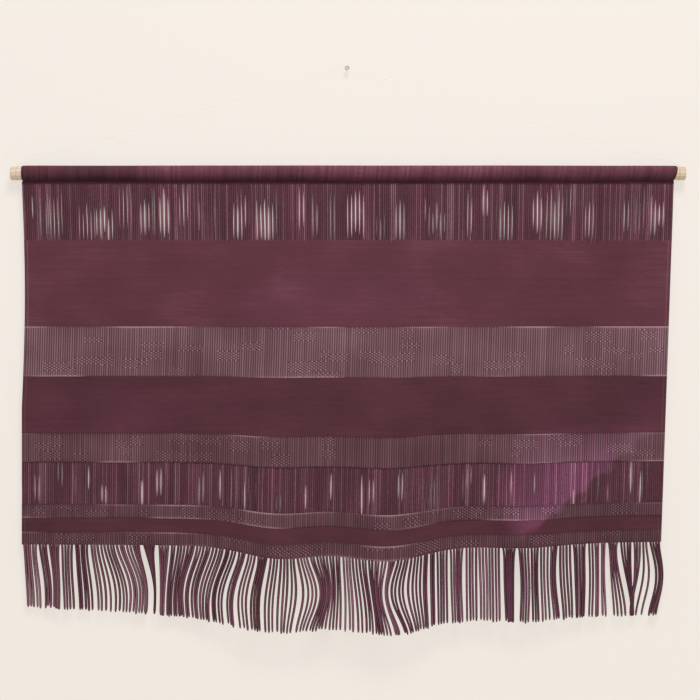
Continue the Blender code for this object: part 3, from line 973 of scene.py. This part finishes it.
def yarn_edges(generator, slits, steps):
    """The left and right side of each yarn, as distances across the flat cloth, at each step down, and how
    much painted light it gets beside a slit.
    """
    rows = np.linspace(0.0, 1.0, steps)
    steady = np.arange(YARN_COUNT + 1) * YARN_PITCH
    line = steady[:, None] + 0.0003 * smooth_noise(generator, YARN_COUNT + 1, steps, 0.8, 4.0)
    chance = generator.random((YARN_COUNT + 1, 1))
    stray = np.clip(chance - (1 - STRAY_GAP_SHARE), 0, 1) / STRAY_GAP_SHARE
    gap = (0.0001 + 0.0006 * stray) * np.sin(math.pi * rows)[None, :] ** 0.7
    for number, start, end, widest in slits:
        lens = np.sin(math.pi * np.clip((rows - start) / (end - start), 0, 1)) ** 0.7
        opening = widest * lens
        gap[number] = np.maximum(gap[number], opening)
        line[number] += 0.0009 * generator.standard_normal() * (rows - 0.5) * lens
        for away in range(1, 5):
            shift = 0.5 * opening * 0.5**away
            line[max(number - away, 0)] -= shift
            line[min(number + away, YARN_COUNT)] += shift
    left = line[:-1] + gap[:-1] / 2
    right = line[1:] - gap[1:] / 2
    left[0] = np.maximum(left[0], 0.0)
    right[-1] = np.minimum(right[-1], CLOTH_WIDTH)
    beside = np.clip(np.maximum(gap[:-1], gap[1:]) / 0.0010 - 0.5, 0.0, 1.0)
    return left, right, beside


def make_open_warp(name, node, slit_groups, most, seed, steps, tuck_top, setback):
    """Bare warp yarns side by side, pushed apart here and there into slits that show the wall."""
    generator = np.random.default_rng(seed)
    top, bottom = band_span(node)
    drops = np.linspace(top - tuck_top, bottom + 0.004, steps)
    left, right, beside = yarn_edges(generator, scatter_slits(generator, slit_groups, most), steps)
    across = (left + right) / 2 / CLOTH_WIDTH
    grid_drops = np.broadcast_to(drops[None, :], across.shape)
    centres = drape(across, grid_drops)
    sideways, outward = drape_frame(across, grid_drops)
    wander = YARN_WANDER * smooth_noise(generator, YARN_COUNT, steps, 0.0, 3.0)
    layer = YARN_LAYER * (generator.random((YARN_COUNT, 1)) - 0.5)
    centres = centres + outward * (wander + layer - setback)[..., None]
    half_width = np.maximum((right - left) / 2, THINNEST_YARN) * YARN_OVERLAP
    half_depth = YARN_HALF_THICKNESS * (0.85 + 0.3 * generator.random((YARN_COUNT, 1))) + 0 * half_width
    points = tube_points(centres, half_width, half_depth, sideways, outward, ROUND_SIDES)
    place = yarn_places(points, grid_drops[..., None])
    tint = smooth_noise(generator, YARN_COUNT, 1, 1.2, 0)[:, 0]
    shade = 0.36 + 0.05 * tint + 0.26 * generator.random(YARN_COUNT) ** 3
    # Painted shade: each yarn is darker on its flanks, where shade falls between neighbouring yarns.
    flank = (crest(ROUND_SIDES) - 0.72)[None, None, :]
    # Painted light: yarns beside an open slit are lighter, as if lit through it, and lose their painted flank
    # shade.
    shade = shade[:, None, None] + 0.55 * flank * (1 - beside[..., None]) + 0.24 * beside[..., None]
    piece = add_mesh(
        name,
        points,
        tube_faces(YARN_COUNT, steps, ROUND_SIDES),
        WARP_YARN,
        {"weave_place": place, "tone": tone_at(points), "shade": shade},
    )
    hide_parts(node)
    return piece


# The fringe

STRAND_RINGS = 26
STRAND_TUCK = 0.003  # length of strand behind the hem
STRAND_TAPER = ((0.0, 0.92), (0.08, 1.0), (0.5, 0.98), (0.97, 0.92), (1.0, 0.55))  # share down, of the radius
STRAND_LAYER = 0.0012  # how far strands lie in front of or behind each other
BUNCH_DEPTH = 0.002  # how far the tips of bunches stray towards the room or the wall
BUNCH_LEAN = 0.0010  # how far whole bunches shift sideways at the tip
BUNCH_BOW = 0.0008  # and halfway down
TIP_DRIFT = 0.004  # sideways shift at the tip that strands share with those near them
MIDDLE_DRIFT = 0.003  # and halfway down
TIP_SCATTER = 0.0004  # sideways shift of single tips
LENGTH_SCATTER = 0.0012


def fringe_sway(x):
    """How far strands with their roots at x shift sideways, halfway down and at the tip."""
    middle = np.zeros_like(x)
    tip = np.zeros_like(x)
    for centre, half_width, middle_shift, tip_shift in FRINGE_BENDS:
        bell = np.exp(-0.5 * ((x - centre) / half_width) ** 2)
        middle += middle_shift * bell
        tip += tip_shift * bell
    return middle, tip


def deal_bunches(generator, count):
    """The number of each strand's bunch, bunches having two to five strands."""
    bunch = np.zeros(count, int)
    start = 0
    number = 0
    while start < count:
        size = int(generator.integers(2, 6))
        bunch[start : start + size] = number
        start += size
        number += 1
    return bunch


def strand_lines(generator, down):
    """The strands' middle lines, each with a point at every share down its length, and their bunches."""
    count = LOCK_COUNT * STRANDS_PER_LOCK
    across = (np.arange(count) + 0.5) / count + 0.0006 * generator.uniform(-1, 1, count)
    roots = drape(across, np.full(count, CLOTH_DROP))
    root_x = roots[:, 0]
    middle_shift, tip_shift = fringe_sway(root_x)
    bunch = deal_bunches(generator, count)
    number = bunch[-1] + 1
    middles = np.array([root_x[bunch == k].mean() for k in range(number)])[bunch]
    tightness = generator.uniform(0.2, 0.85, number)[bunch] ** 3
    lean = generator.normal(0.0, BUNCH_LEAN, number)[bunch]
    bow = generator.normal(0.0, BUNCH_BOW, number)[bunch]
    pull = (middles - root_x) * tightness
    drifts = smooth_noise(generator, count, 2, 5.0, 0.0)
    tip_shift = tip_shift + lean + TIP_DRIFT * drifts[:, 0] + generator.normal(0.0, TIP_SCATTER, count)
    middle_shift = middle_shift + 0.4 * lean + bow + MIDDLE_DRIFT * drifts[:, 1]
    length = np.interp(across, *zip(*FRINGE_LENGTHS)) + generator.normal(0.0, LENGTH_SCATTER, count)
    tip_z = roots[:, 2] - length

    # A smooth curve through no shift at the root, the middle's shift and the tip's
    ease = down * down * (3 - 2 * down)
    hump = np.sin(math.pi * np.clip(down * 0.98, 0, 1)) ** 1.5
    half_tip = tip_shift * np.interp(0.5, down, ease)
    gather = 1 - 0.75 * np.exp(-9 * down)
    x = root_x[:, None] + pull[:, None] * gather
    x = x + tip_shift[:, None] * ease + (middle_shift - half_tip)[:, None] * hump
    z = (roots[:, 2] + STRAND_TUCK)[:, None] + (tip_z - roots[:, 2] - STRAND_TUCK)[:, None] * down
    layer = generator.uniform(-STRAND_LAYER, STRAND_LAYER, count)
    drift = generator.normal(0.0, BUNCH_DEPTH, number)[bunch]
    y = roots[:, 1][:, None] + layer[:, None] * np.minimum(1, down * 6) + drift[:, None] * down**2
    return across, np.stack((x, y, z), axis=-1), bunch


def make_fringe():
    """The warp ends below the hem, as swaying strands that part into uneven bunches."""
    generator = np.random.default_rng(41)
    down = np.linspace(0.0, 1.0, STRAND_RINGS)
    across, centres, bunch = strand_lines(generator, down)
    count = len(across)
    along = unit(np.gradient(centres, axis=1))
    outward = np.broadcast_to(np.array((0.0, -1.0, 0.0)), along.shape)
    sideways = unit(np.cross(outward, along))
    sideways = sideways * np.sign(sideways[..., :1])
    taper = np.interp(down, *zip(*STRAND_TAPER))
    stout = np.interp(across, (0.0, 0.4), (1.10, 1.0)) * generator.uniform(0.84, 1.04, count)
    thick = STRAND_RADIUS * stout[:, None] * taper
    points = tube_points(centres, thick, thick * 0.95, sideways, outward, ROUND_SIDES)
    tint = 0.25 * generator.standard_normal(bunch[-1] + 1)[bunch] + 0.2 * generator.uniform(-1, 1, count)
    shade = 0.32 + 0.30 * tint[:, None, None] + 0.10 * (down - 0.3)[None, :, None]
    # Painted shade: each strand is darker on its flanks, where shade falls between neighbouring strands.
    shade = shade + 0.85 * (crest(ROUND_SIDES) - 0.66)[None, None, :]
    place = yarn_places(points, (down * 0.13)[None, :, None])
    tone = tone_at(points)
    locks = []
    for lock in range(LOCK_COUNT):
        chosen = slice(lock * STRANDS_PER_LOCK, (lock + 1) * STRANDS_PER_LOCK)
        name = f"{lock + 1:02d}"
        piece = add_mesh(
            f"fringe_strands_{name}",
            points[chosen],
            tube_faces(STRANDS_PER_LOCK, STRAND_RINGS, ROUND_SIDES),
            FRINGE_YARN,
            {"weave_place": place[chosen], "tone": tone[chosen], "shade": shade[chosen]},
        )
        swing = "fringe_swing" if name == "10" else f"lock_{name}_swing"
        pivot = Vector(JOINTS[swing]["pos_m"])
        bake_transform(piece)
        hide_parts(f"fringe_lock_{name}")
        locks.append(piece)
    return locks


def make_cloth():
    make_pocket(make_seam())
    upper = make_open_warp("upper_warp_yarns", "upper_open_warp", UPPER_SLIT_GROUPS, 5, 21, 20, 0.003, 0.0)
    fold_top = Vector(JOINTS["panel_swing"]["pos_m"])
    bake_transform(upper)
    make_plain_band("plain_band_1", "panel", 31, 0.48, ["rod_pocket_cloth"], [upper])
    make_textured_band("textured_band_1", "panel", 32, 0.50, 50, ["plain_band_1_cloth"])
    make_plain_band("plain_band_2", "panel", 33, 0.33, ["textured_band_1_cloth"])
    make_textured_band("textured_band_2", "panel", 34, 0.38, 30, ["plain_band_2_cloth"])
    lower = make_open_warp("lower_warp_yarns", "lower_open_warp", LOWER_SLIT_GROUPS, 2, 22, 16, 0.004, 0.0006)
    fold_hem = Vector(JOINTS["hem_swing"]["pos_m"])
    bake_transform(lower)
    make_textured_band("textured_band_3", "hem", 35, 0.31, 20, ["textured_band_2_cloth"], [lower])
    make_plain_band("plain_band_3", "hem", 36, 0.33, ["textured_band_3_cloth"])
    locks = make_fringe()
    make_textured_band("textured_band_4", "hem", 37, 0.30, 18, ["plain_band_3_cloth"], locks)


make_camera()
make_stage()
make_light()
make_line()
finish_hard_parts()
make_cloth()
